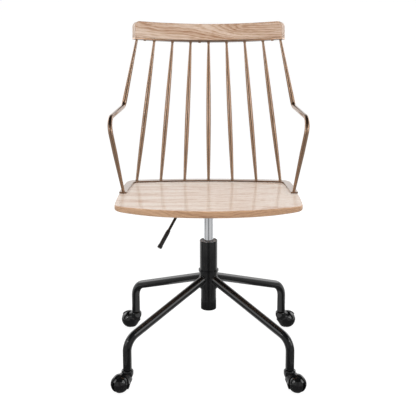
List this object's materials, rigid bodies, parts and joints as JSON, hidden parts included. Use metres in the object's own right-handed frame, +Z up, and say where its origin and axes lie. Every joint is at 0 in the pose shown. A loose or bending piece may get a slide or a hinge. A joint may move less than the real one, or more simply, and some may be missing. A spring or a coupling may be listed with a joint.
{
  "type": "office chair",
  "caption": "Spindle-back swivel chair: carved wooden seat and bent crest rail on metal rods, arms, gas lift, tubular base with casters.",
  "frame": {"origin": "on the floor, on the column's axis", "axes": "+Z up, -Y to the front, +X to the sitter's left"},
  "size_m": [0.5638, 0.6047, 0.94],
  "materials": {
    "seat_wood": "whitewashed, satin lacquer",
    "crest_wood": "whitewashed, satin lacquer",
    "copper_finish": "antique copper, polished",
    "chrome": "polished",
    "black_steel": "gloss black powder coat",
    "bright_steel": "zinc plated",
    "gloss_black": "polished nylon",
    "black_plastic": "moulded",
    "grey_plastic": "moulded",
    "rubber": "moulded"
  },
  "bodies": {
    "base": {"hub_sleeve": "black_steel", "column_tube": "black_steel", "guide_bush": "grey_plastic", "thrust_race_lower": "bright_steel", "caster_sockets": "black_plastic", "leg_front_left": "black_steel", "leg_front_right": "black_steel", "leg_rear_right": "black_steel", "leg_rear_left": "black_steel"},
    "swivel": {"piston_rod": "bright_steel", "piston": "grey_plastic", "thrust_race_upper": "bright_steel", "thrust_balls": "bright_steel", "bump_stop": "rubber", "rod_clip": "bright_steel"},
    "seat": {"pressure_tube": "chrome", "rod_guide_seal": "rubber", "mech_plate": "black_steel", "mech_housing": "black_steel", "taper_socket": "black_steel", "lever_pin": "bright_steel", "plate_screws": "bright_steel", "seat_panel": "seat_wood", "seat_bar": "copper_finish", "bar_screws": "bright_steel", "spindle_1": "copper_finish", "spindle_2": "copper_finish", "spindle_3": "copper_finish", "spindle_4": "copper_finish", "spindle_5": "copper_finish", "spindle_6": "copper_finish", "spindle_7": "copper_finish", "arm_rod_left": "copper_finish", "arm_rod_right": "copper_finish", "crest_strip": "copper_finish", "crest_rail": "crest_wood", "crest_screws": "copper_finish"},
    "lever": {"lever_rod": "black_steel", "lever_grip": "black_plastic"},
    "valve": {"valve_pin": "bright_steel"},
    "front_left_caster": {"caster_front_left_hood": "gloss_black", "caster_front_left_stem": "bright_steel", "caster_front_left_axle": "bright_steel"},
    "front_left_wheel_left": {"caster_front_left_wheel_left": "gloss_black"},
    "front_left_wheel_right": {"caster_front_left_wheel_right": "gloss_black"},
    "front_right_caster": {"caster_front_right_hood": "gloss_black", "caster_front_right_stem": "bright_steel", "caster_front_right_axle": "bright_steel"},
    "front_right_wheel_left": {"caster_front_right_wheel_left": "gloss_black"},
    "front_right_wheel_right": {"caster_front_right_wheel_right": "gloss_black"},
    "rear_right_caster": {"caster_rear_right_hood": "gloss_black", "caster_rear_right_stem": "bright_steel", "caster_rear_right_axle": "bright_steel"},
    "rear_right_wheel_left": {"caster_rear_right_wheel_left": "gloss_black"},
    "rear_right_wheel_right": {"caster_rear_right_wheel_right": "gloss_black"},
    "rear_left_caster": {"caster_rear_left_hood": "gloss_black", "caster_rear_left_stem": "bright_steel", "caster_rear_left_axle": "bright_steel"},
    "rear_left_wheel_left": {"caster_rear_left_wheel_left": "gloss_black"},
    "rear_left_wheel_right": {"caster_rear_left_wheel_right": "gloss_black"}
  },
  "joints": [
    {"name": "seat_swivel", "type": "hinge", "parent": "base", "child": "swivel", "pos_m": [0, 0, 0.16], "axis": [0, 0, 1], "continuous": true},
    {"name": "seat_height", "type": "slide", "parent": "swivel", "child": "seat", "axis": [0, 0, 1], "range_m": [-0.06, 0.025]},
    {"name": "lever_lift", "type": "hinge", "parent": "seat", "child": "lever", "pos_m": [-0.045, 0, 0.46425], "axis": [0, 1, 0], "range_deg": [0, 6], "stiffness_Nm_per_rad": 1, "springref_deg": -2.86},
    {"name": "valve_press", "type": "slide", "parent": "seat", "child": "valve", "axis": [0, 0, -1], "range_m": [0, 0.0048]},
    {"name": "front_left_caster_swivel", "type": "hinge", "parent": "base", "child": "front_left_caster", "pos_m": [0.22203, -0.22203, 0.06], "axis": [0, 0, 1], "continuous": true},
    {"name": "front_left_wheel_left_spin", "type": "hinge", "parent": "front_left_caster", "child": "front_left_wheel_left", "pos_m": [0.24254, -0.24254, 0.025], "axis": [0.7071, 0.7071, 0], "continuous": true},
    {"name": "front_left_wheel_right_spin", "type": "hinge", "parent": "front_left_caster", "child": "front_left_wheel_right", "pos_m": [0.24254, -0.24254, 0.025], "axis": [0.7071, 0.7071, 0], "continuous": true},
    {"name": "front_right_caster_swivel", "type": "hinge", "parent": "base", "child": "front_right_caster", "pos_m": [-0.22203, -0.22203, 0.06], "axis": [0, 0, 1], "continuous": true},
    {"name": "front_right_wheel_left_spin", "type": "hinge", "parent": "front_right_caster", "child": "front_right_wheel_left", "pos_m": [-0.24254, -0.24254, 0.025], "axis": [0.7071, -0.7071, 0], "continuous": true},
    {"name": "front_right_wheel_right_spin", "type": "hinge", "parent": "front_right_caster", "child": "front_right_wheel_right", "pos_m": [-0.24254, -0.24254, 0.025], "axis": [0.7071, -0.7071, 0], "continuous": true},
    {"name": "rear_right_caster_swivel", "type": "hinge", "parent": "base", "child": "rear_right_caster", "pos_m": [-0.22203, 0.22203, 0.06], "axis": [0, 0, 1], "continuous": true},
    {"name": "rear_right_wheel_left_spin", "type": "hinge", "parent": "rear_right_caster", "child": "rear_right_wheel_left", "pos_m": [-0.24254, 0.24254, 0.025], "axis": [-0.7071, -0.7071, 0], "continuous": true},
    {"name": "rear_right_wheel_right_spin", "type": "hinge", "parent": "rear_right_caster", "child": "rear_right_wheel_right", "pos_m": [-0.24254, 0.24254, 0.025], "axis": [-0.7071, -0.7071, 0], "continuous": true},
    {"name": "rear_left_caster_swivel", "type": "hinge", "parent": "base", "child": "rear_left_caster", "pos_m": [0.22203, 0.22203, 0.06], "axis": [0, 0, 1], "continuous": true},
    {"name": "rear_left_wheel_left_spin", "type": "hinge", "parent": "rear_left_caster", "child": "rear_left_wheel_left", "pos_m": [0.24254, 0.24254, 0.025], "axis": [-0.7071, 0.7071, 0], "continuous": true},
    {"name": "rear_left_wheel_right_spin", "type": "hinge", "parent": "rear_left_caster", "child": "rear_left_wheel_right", "pos_m": [0.24254, 0.24254, 0.025], "axis": [-0.7071, 0.7071, 0], "continuous": true}
  ],
  "couplings": [
    {"joint": "valve_press", "follows": "lever_lift", "m_per_rad": 0.045}
  ]
}
